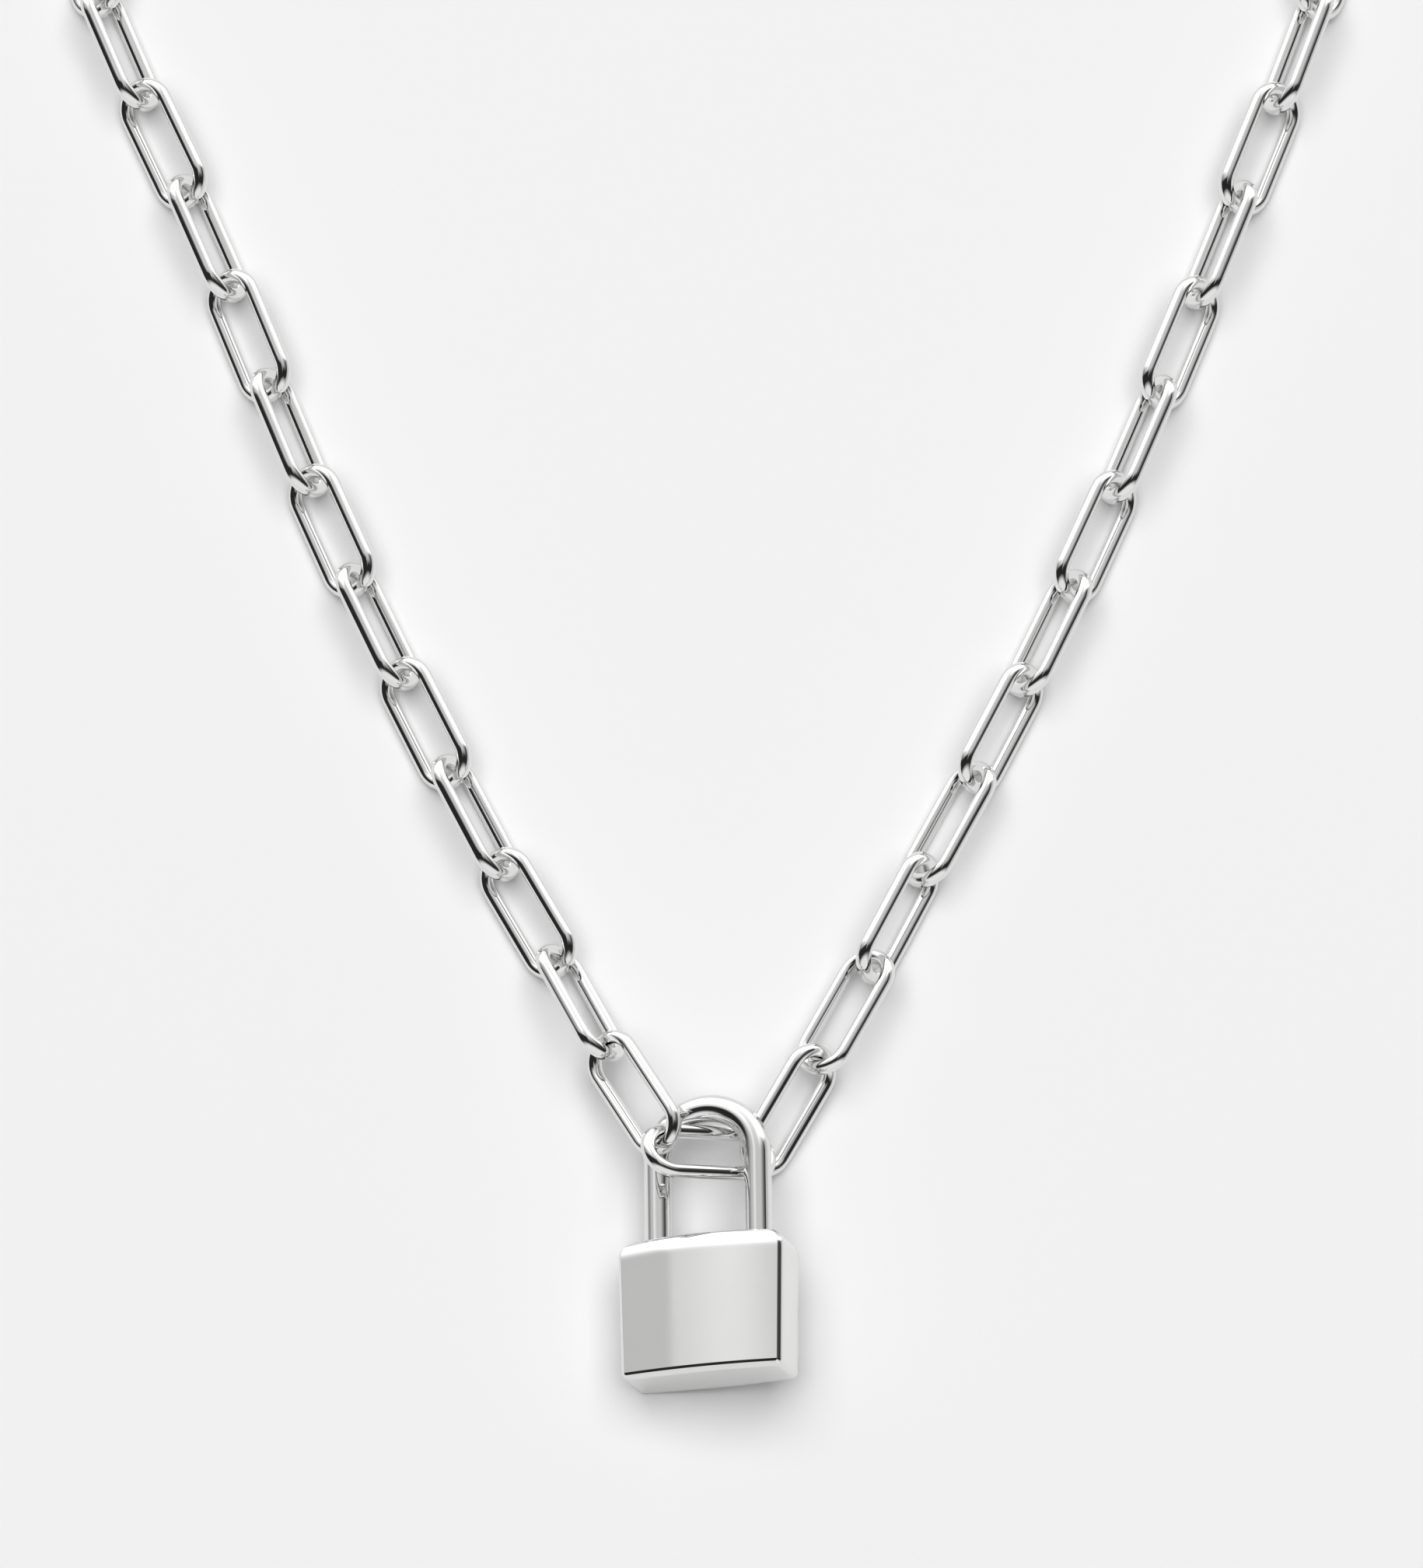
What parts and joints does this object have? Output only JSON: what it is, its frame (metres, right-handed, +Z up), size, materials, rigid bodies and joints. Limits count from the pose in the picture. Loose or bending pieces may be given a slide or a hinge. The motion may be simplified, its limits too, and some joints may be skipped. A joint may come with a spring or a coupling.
{
  "type": "padlock pendant necklace",
  "caption": "Polished silver padlock pendant threaded on its own closed necklace of long oval links, lying flat.",
  "frame": {"origin": "middle of the bottom of the bounding box, on the surface the necklace lies on", "axes": "+Y from the pendant towards the back of the neck, +X across the necklace to the right as seen from above, +Z up from the surface"},
  "size_m": [0.1228, 0.187, 0.01],
  "materials": {
    "silver": "polished"
  },
  "bodies": {
    "root": {"lock_body": "silver", "shackle": "silver", "middle_link": "silver", "left_link_01": "silver", "left_link_02": "silver", "left_link_03": "silver", "left_link_04": "silver", "left_link_05": "silver", "left_link_06": "silver", "left_link_07": "silver", "left_link_08": "silver", "left_link_09": "silver", "left_link_10": "silver", "left_link_11": "silver", "left_link_12": "silver", "left_link_13": "silver", "left_link_14": "silver", "left_link_15": "silver", "left_link_16": "silver", "left_link_17": "silver", "left_link_18": "silver", "left_link_19": "silver", "left_link_20": "silver", "right_link_01": "silver", "right_link_02": "silver", "right_link_03": "silver", "right_link_04": "silver", "right_link_05": "silver", "right_link_06": "silver", "right_link_07": "silver", "right_link_08": "silver", "right_link_09": "silver", "right_link_10": "silver", "right_link_11": "silver", "right_link_12": "silver", "right_link_13": "silver", "right_link_14": "silver", "right_link_15": "silver", "right_link_16": "silver", "right_link_17": "silver", "right_link_18": "silver", "right_link_19": "silver", "right_link_20": "silver", "left_ring": "silver", "right_ring": "silver", "clasp": "silver"}
  },
  "joints": []
}
